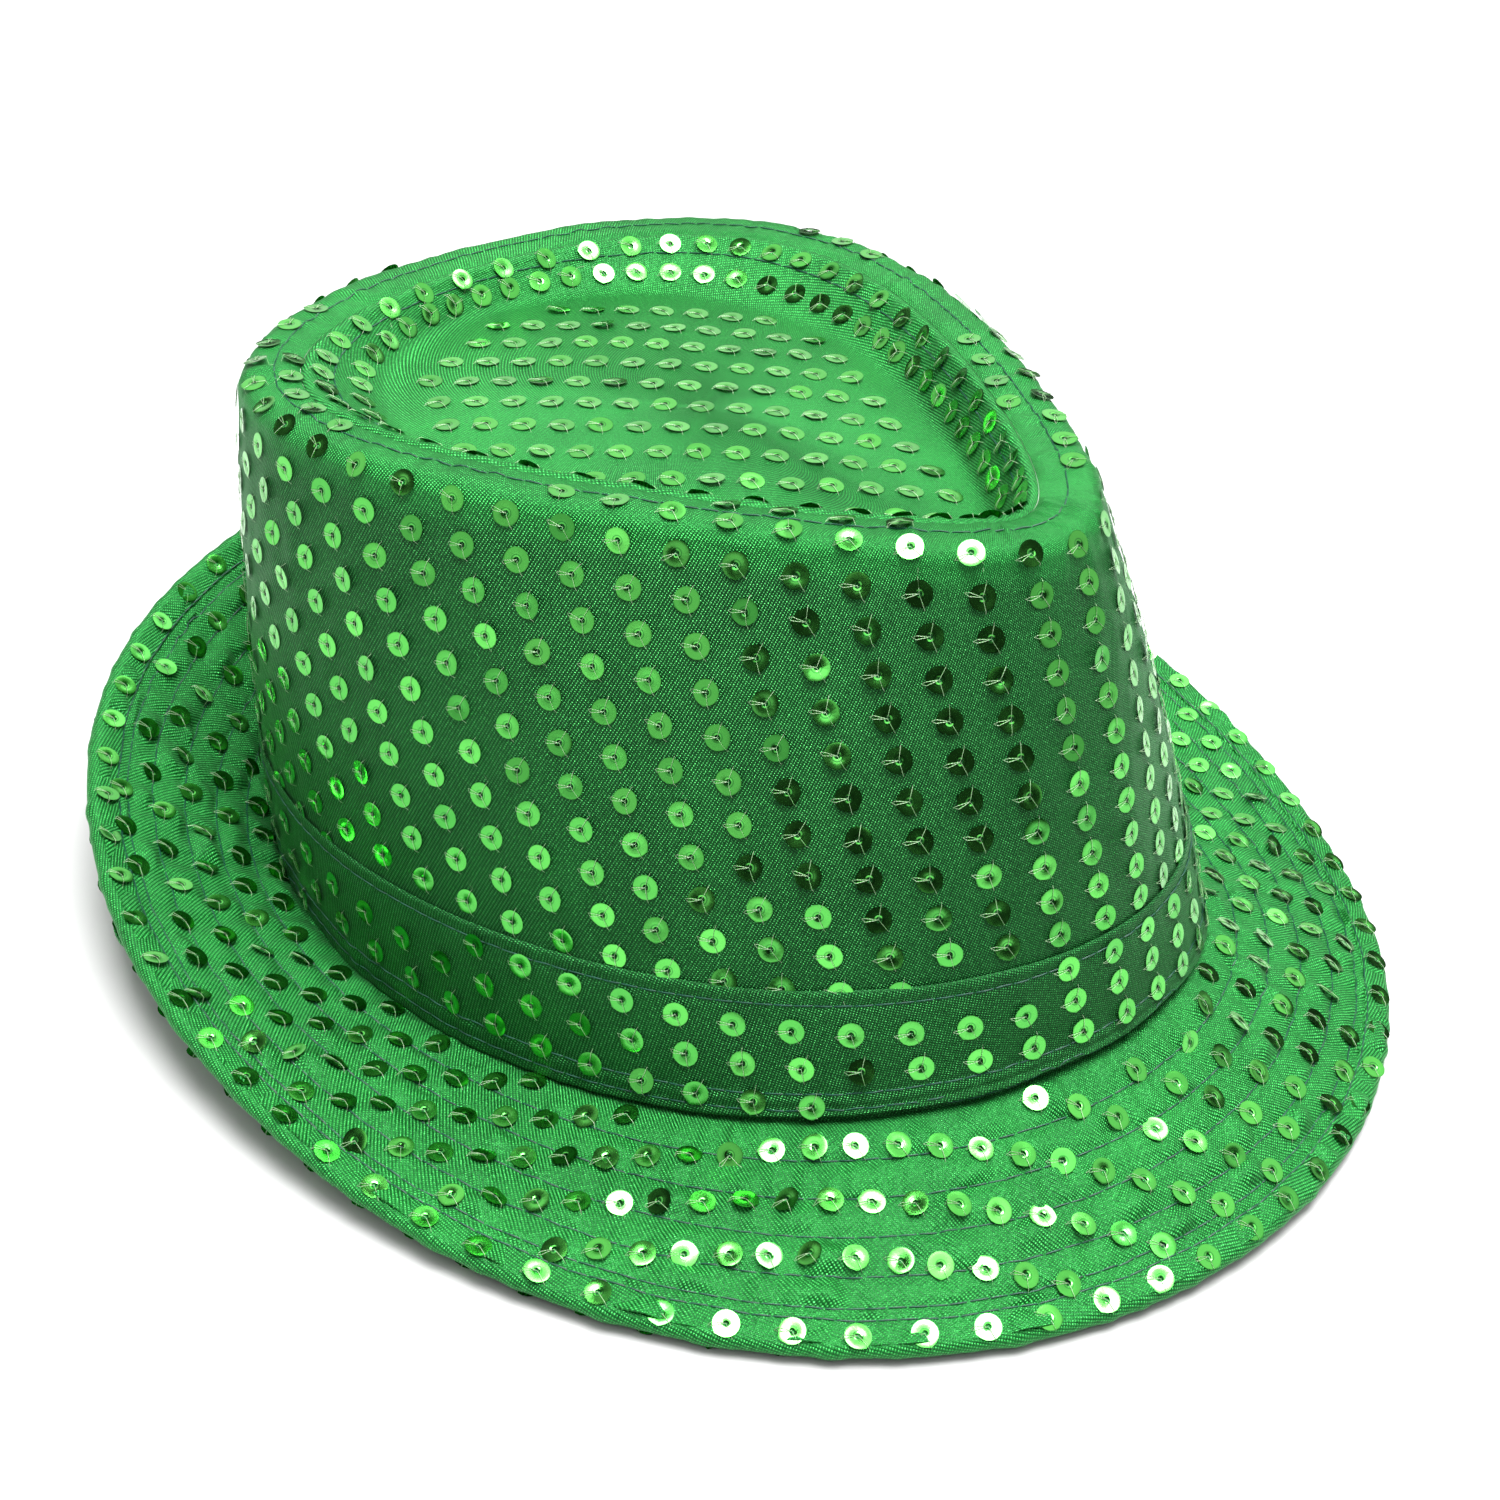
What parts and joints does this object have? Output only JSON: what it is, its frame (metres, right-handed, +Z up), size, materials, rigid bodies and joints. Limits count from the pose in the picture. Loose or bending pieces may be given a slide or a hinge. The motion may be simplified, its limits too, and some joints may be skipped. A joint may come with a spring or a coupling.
{
  "type": "trilby hat",
  "caption": "Short-brim trilby sewn from sequinned satin, with a dished teardrop crown, a self band, a stitched and bound brim dipped at the front and turned up at the back, and a sweatband.",
  "frame": {"origin": "on the surface the hat stands on, under the middle of its outline seen from above", "axes": "-Y towards the front of the hat, +X towards the wearer's left, +Z up as it stands"},
  "size_m": [0.2571, 0.2772, 0.1162],
  "materials": {
    "green_satin": "glossy satin weave",
    "stiff_interlining": "matte bonded fibre",
    "lining_cloth": "plain thin cloth",
    "sweatband_cloth": "ribbed cotton tape",
    "label_tape": "smooth woven tape",
    "green_thread": "spun sewing thread",
    "sequin_film": "bright metallised film"
  },
  "bodies": {
    "root": {"side_crown_fabric": "green_satin", "side_crown_interlining": "stiff_interlining", "side_crown_lining": "lining_cloth", "tip_fabric": "green_satin", "tip_interlining": "stiff_interlining", "tip_lining": "lining_cloth", "hat_band": "green_satin", "brim_upper_fabric": "green_satin", "brim_interlining": "stiff_interlining", "brim_lower_fabric": "green_satin", "brim_edge_binding": "green_satin", "sweatband": "sweatband_cloth", "care_label": "label_tape", "ridge_topstitching": "green_thread", "tip_topstitching": "green_thread", "band_top_stitching": "green_thread", "band_lower_stitching": "green_thread", "brim_stitch_row_1": "green_thread", "brim_stitch_row_2": "green_thread", "brim_stitch_row_3": "green_thread", "brim_stitch_row_4": "green_thread", "brim_stitch_row_5": "green_thread", "binding_stitching": "green_thread", "sweatband_stitching": "green_thread", "side_crown_sequins": "sequin_film", "tip_sequins": "sequin_film", "band_sequins": "sequin_film", "brim_upper_sequins": "sequin_film", "brim_lower_sequins": "sequin_film", "binding_sequins": "sequin_film"}
  },
  "joints": []
}
